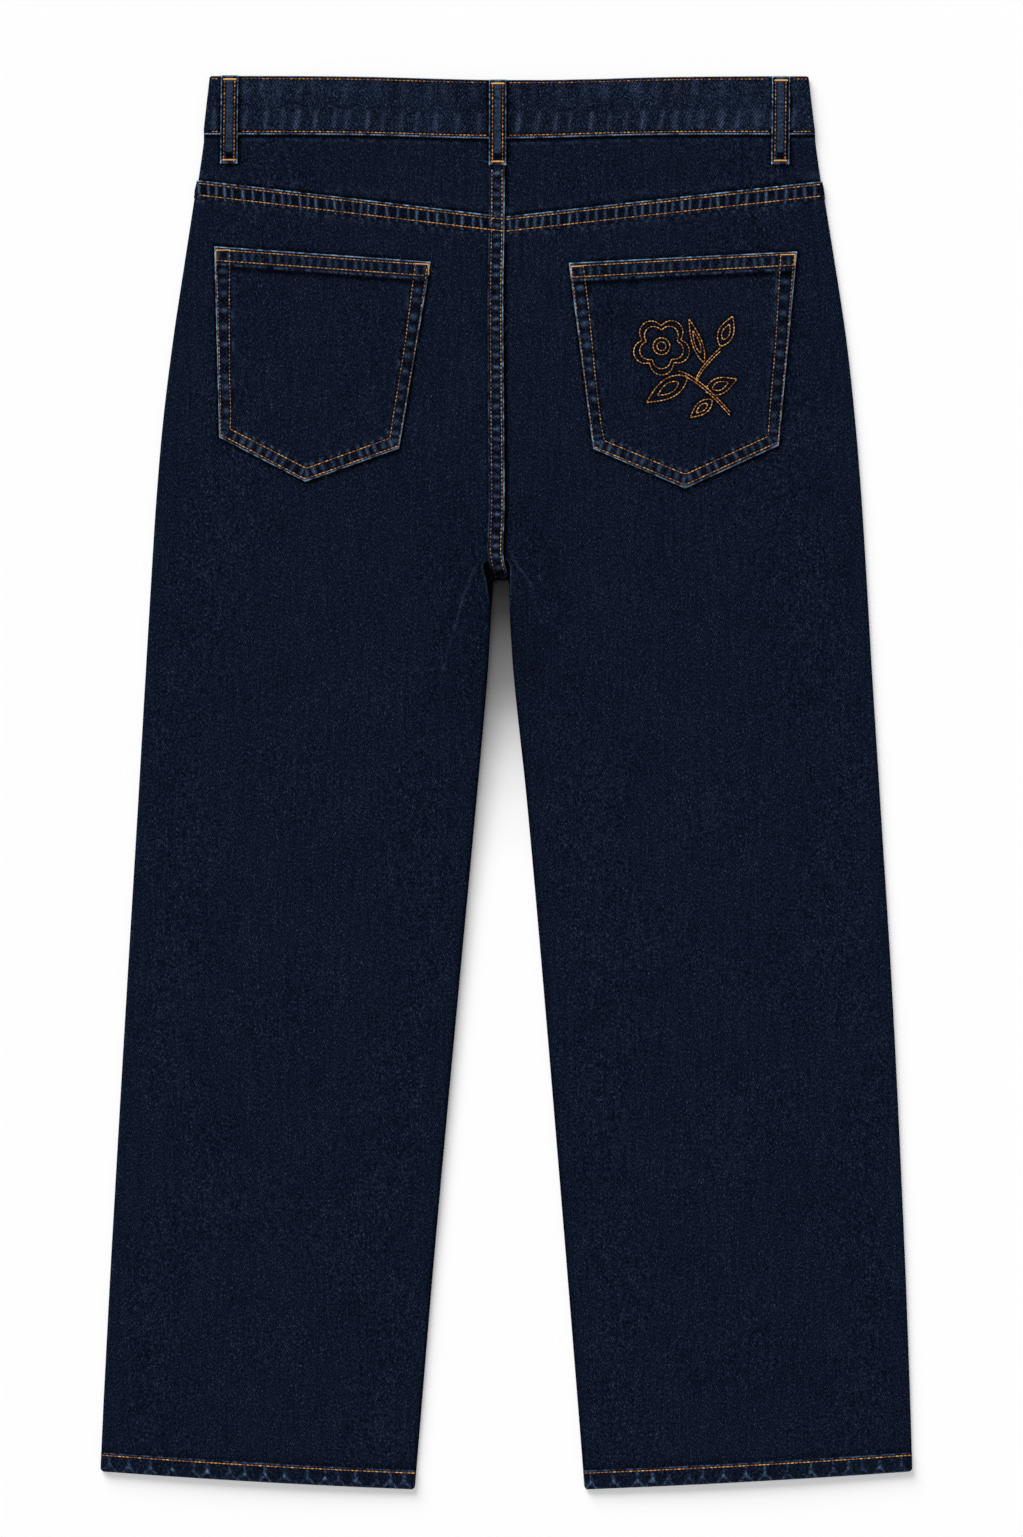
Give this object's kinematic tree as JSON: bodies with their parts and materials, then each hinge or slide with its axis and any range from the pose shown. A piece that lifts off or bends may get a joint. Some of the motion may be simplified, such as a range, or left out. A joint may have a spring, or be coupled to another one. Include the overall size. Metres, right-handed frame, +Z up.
{
  "type": "baggy jeans",
  "caption": "Wide straight baggy jeans in dark indigo denim, laid flat with the back side up, with pointed back pockets, yoke, belt loops and copper topstitching.",
  "frame": {"origin": "centre of the garment's outline, on the flat surface it lies on", "axes": "+Y towards the waist along the garment's length, +X towards the wearer's right side, +Z up out of the back side"},
  "size_m": [0.591, 1.032, 0.0082],
  "materials": {
    "leg_denim": "dark indigo denim twill, matte",
    "yoke_denim": "dark indigo denim twill, matte",
    "pocket_denim": "dark indigo denim twill, matte",
    "waist_denim": "indigo denim twill, faintly worn, matte",
    "loop_denim": "indigo denim with worn edges, matte",
    "thread": "copper-orange topstitching thread, soft sheen",
    "button_copper": "plain antique copper"
  },
  "bodies": {
    "root": {"back_leg_left": "leg_denim", "back_leg_right": "leg_denim", "front_leg_left": "leg_denim", "front_leg_right": "leg_denim", "yoke_left": "yoke_denim", "yoke_right": "yoke_denim", "pocket_left": "pocket_denim", "pocket_right": "pocket_denim", "waistband": "waist_denim", "belt_loop_left": "loop_denim", "belt_loop_centre": "loop_denim", "belt_loop_right": "loop_denim", "waist_button": "button_copper"}
  },
  "joints": []
}
